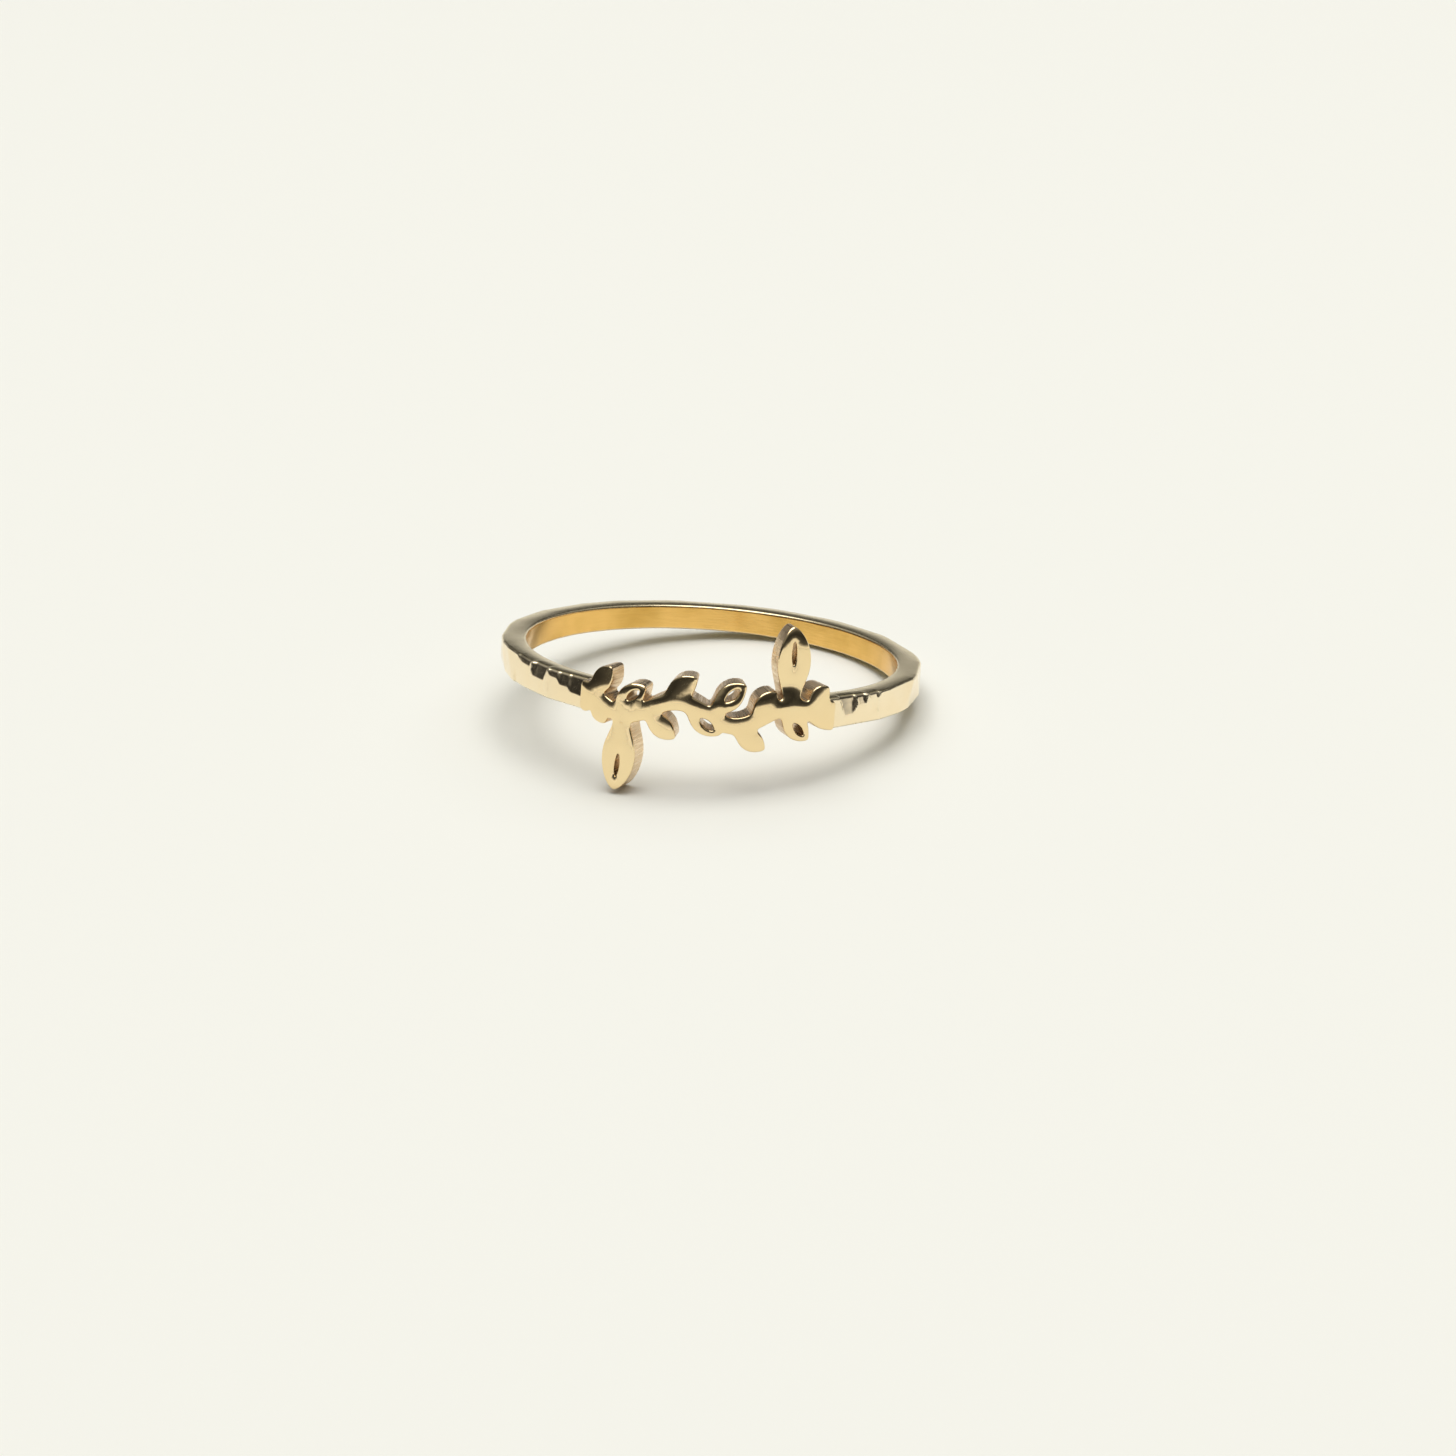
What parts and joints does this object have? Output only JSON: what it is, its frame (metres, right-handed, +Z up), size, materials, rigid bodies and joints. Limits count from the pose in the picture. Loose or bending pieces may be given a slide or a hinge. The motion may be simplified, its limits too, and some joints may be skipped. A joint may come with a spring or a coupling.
{
  "type": "stackable ring",
  "caption": "Narrow stackable finger ring of yellow gold: a hammered band that opens in front into a cut-out leafy stem, with one tall leaf standing up and one hanging down.",
  "frame": {"origin": "bottom centre of the bounding box, on the surface that the ring lies on", "axes": "+Z up from that surface, with the ring lying on its side as it settles; the openwork faces -Y; the finger's axis leans 10.7 degrees from +Z, up at the front and at the left"},
  "size_m": [0.0196, 0.0198, 0.0074],
  "materials": {
    "gold": "polished yellow gold, hammered outside the band, satin on its flat sides"
  },
  "bodies": {
    "root": {"ring": "gold"}
  },
  "joints": []
}
